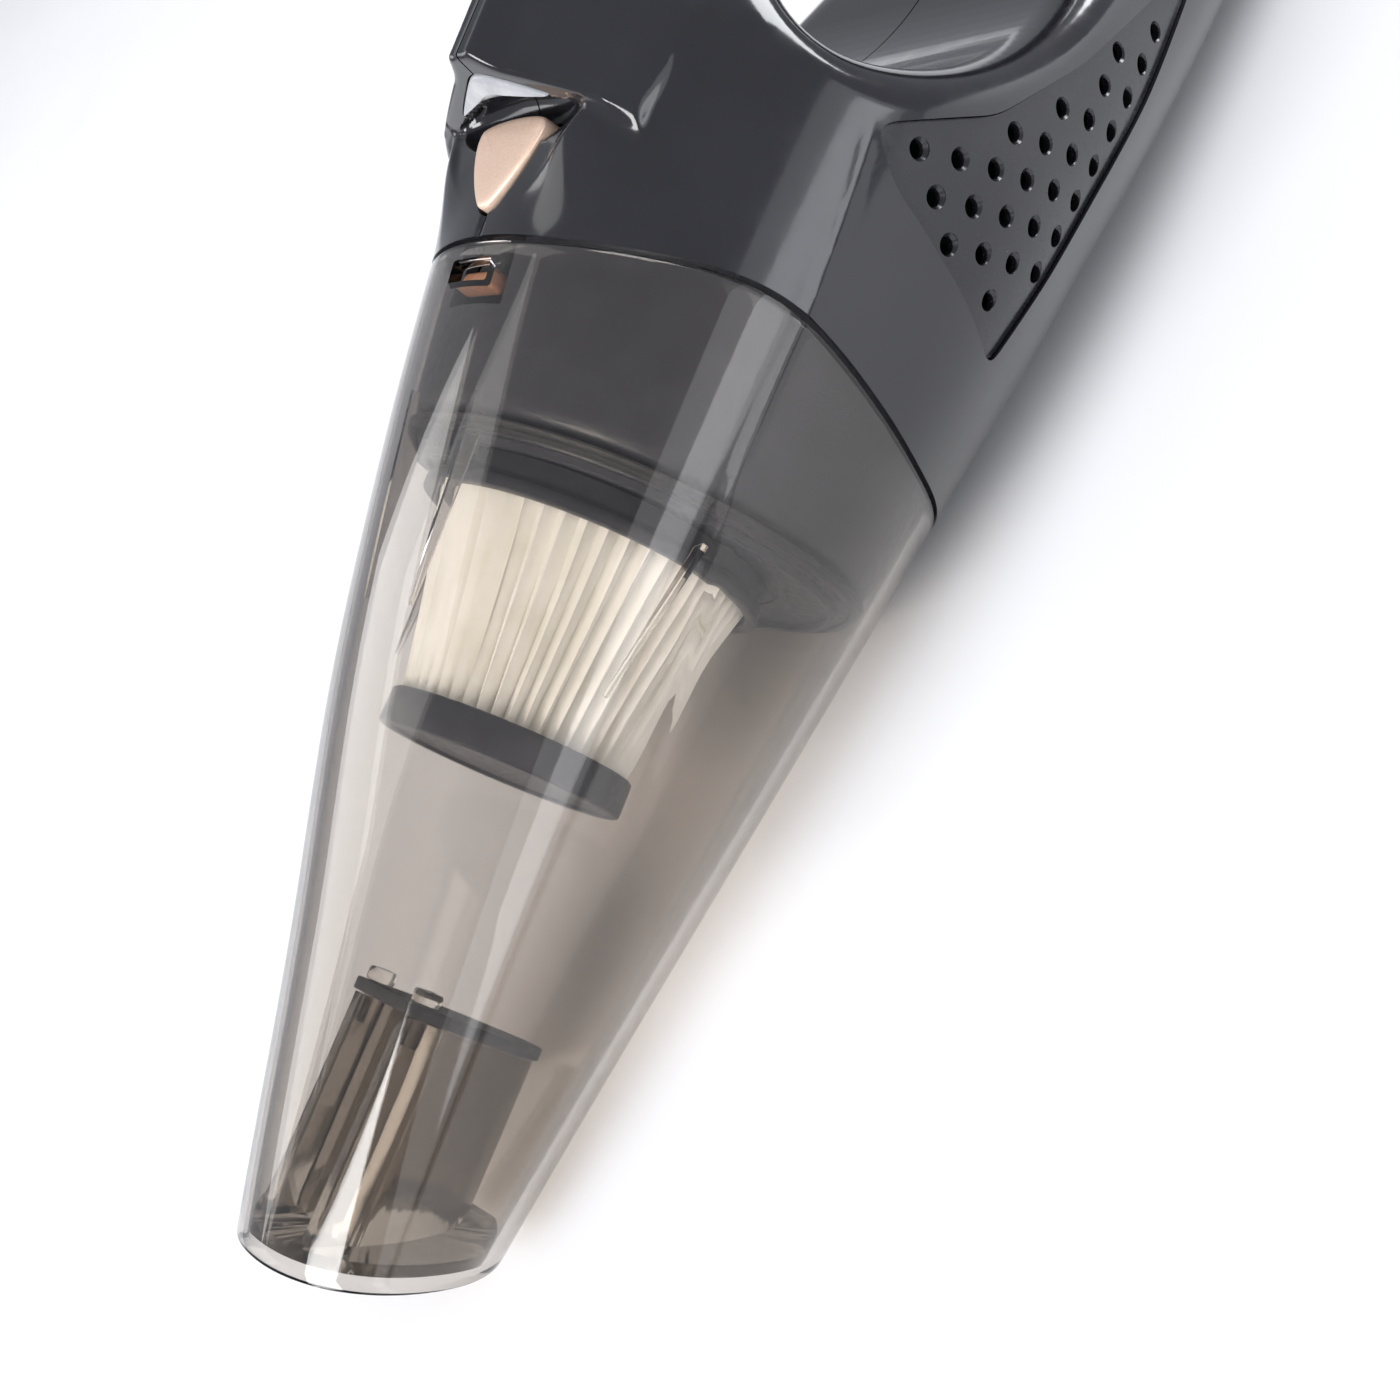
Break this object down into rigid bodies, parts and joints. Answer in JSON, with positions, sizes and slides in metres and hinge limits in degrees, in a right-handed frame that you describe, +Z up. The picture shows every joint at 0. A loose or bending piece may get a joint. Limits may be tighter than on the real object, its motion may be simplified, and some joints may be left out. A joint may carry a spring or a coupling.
{
  "type": "handheld vacuum",
  "caption": "Cordless handheld vacuum with a tapering see-through dust cup, pleated cone filter, one-way inlet flap, closed loop handle and a push-button cup latch.",
  "frame": {"origin": "centre of the object's bounding box at the height of the flat underside it lies on", "axes": "+X points out of the nozzle, +Y to the user's left, +Z up through the handle"},
  "size_m": [0.4001, 0.1036, 0.12],
  "materials": {
    "body_gloss": "polished black moulded plastic",
    "grille_gloss": "satin black moulded plastic with round holes",
    "cup_smoke": "clear smoke-tinted plastic",
    "duct_smoke": "clear smoke-tinted plastic",
    "lens_clear": "clear moulded lens",
    "lamp_frosted": "frosted light guide",
    "rose_satin": "satin rose-gold lacquer",
    "latch_copper": "copper lacquer",
    "slate_plastic": "fine satin slate-grey plastic",
    "inner_plastic": "moulded dark plastic",
    "fan_plastic": "natural moulded nylon",
    "filter_paper": "folded fibre filter paper",
    "rubber_black": "soft matt rubber",
    "peg_clear": "clear moulded plastic",
    "steel_plain": "zinc-plated steel",
    "cell_sleeve": "blue shrink sleeve over a metal can",
    "board_green": "green solder mask"
  },
  "bodies": {
    "housing": {"left_housing": "body_gloss", "right_housing": "body_gloss", "left_vent_grille": "grille_gloss", "right_vent_grille": "grille_gloss", "housing_screw_1": "steel_plain", "housing_screw_2": "steel_plain", "housing_screw_3": "steel_plain", "housing_screw_4": "steel_plain", "housing_screw_5": "steel_plain", "led_lens": "lens_clear", "led_board": "board_green", "switch_body": "inner_plastic", "charge_light": "lamp_frosted", "motor_cover": "slate_plastic", "fan_shroud": "inner_plastic", "motor_can": "steel_plain", "motor_cushion": "rubber_black", "battery_cell_1": "cell_sleeve", "battery_cell_2": "cell_sleeve", "battery_cell_3": "cell_sleeve", "battery_tray": "inner_plastic", "main_board": "board_green", "charging_jack": "inner_plastic", "filter_frame": "slate_plastic", "cup_seal": "rubber_black"},
    "cup": {"dust_cup": "cup_smoke", "inlet_duct": "duct_smoke", "flap_strip": "rubber_black", "flap_peg_left": "peg_clear", "flap_peg_right": "peg_clear"},
    "flap": {"inlet_flap": "rubber_black"},
    "filter": {"filter_cap": "slate_plastic", "filter_pleats": "filter_paper", "filter_collar": "slate_plastic"},
    "latch": {"release_button": "rose_satin", "latch_arm": "latch_copper"},
    "switch": {"power_switch": "rose_satin"},
    "rotor": {"impeller": "fan_plastic", "motor_shaft": "steel_plain"}
  },
  "joints": [
    {"name": "cup_slide", "type": "slide", "parent": "housing", "child": "cup", "axis": [1, 0, 0], "range_m": [0, 0.13]},
    {"name": "flap_hinge", "type": "hinge", "parent": "cup", "child": "flap", "pos_m": [0.15405, 0, 0.03219], "axis": [0, 1, 0], "range_deg": [0, 50]},
    {"name": "filter_twist", "type": "hinge", "parent": "housing", "child": "filter", "pos_m": [0.1162, 0, 0.0402], "axis": [0.99, 0, -0.1409], "range_deg": [0, 28]},
    {"name": "button_press", "type": "slide", "parent": "housing", "child": "latch", "axis": [-0.1908, 0, -0.9816], "range_m": [0, 0.0025], "stiffness_N_per_m": 900, "springref_m": -0.0008},
    {"name": "switch_slide", "type": "slide", "parent": "housing", "child": "switch", "axis": [1, 0, 0], "range_m": [0, 0.005]},
    {"name": "rotor_spin", "type": "hinge", "parent": "housing", "child": "rotor", "pos_m": [0.1162, 0, 0.0402], "axis": [0.99, 0, -0.1409], "continuous": true}
  ]
}
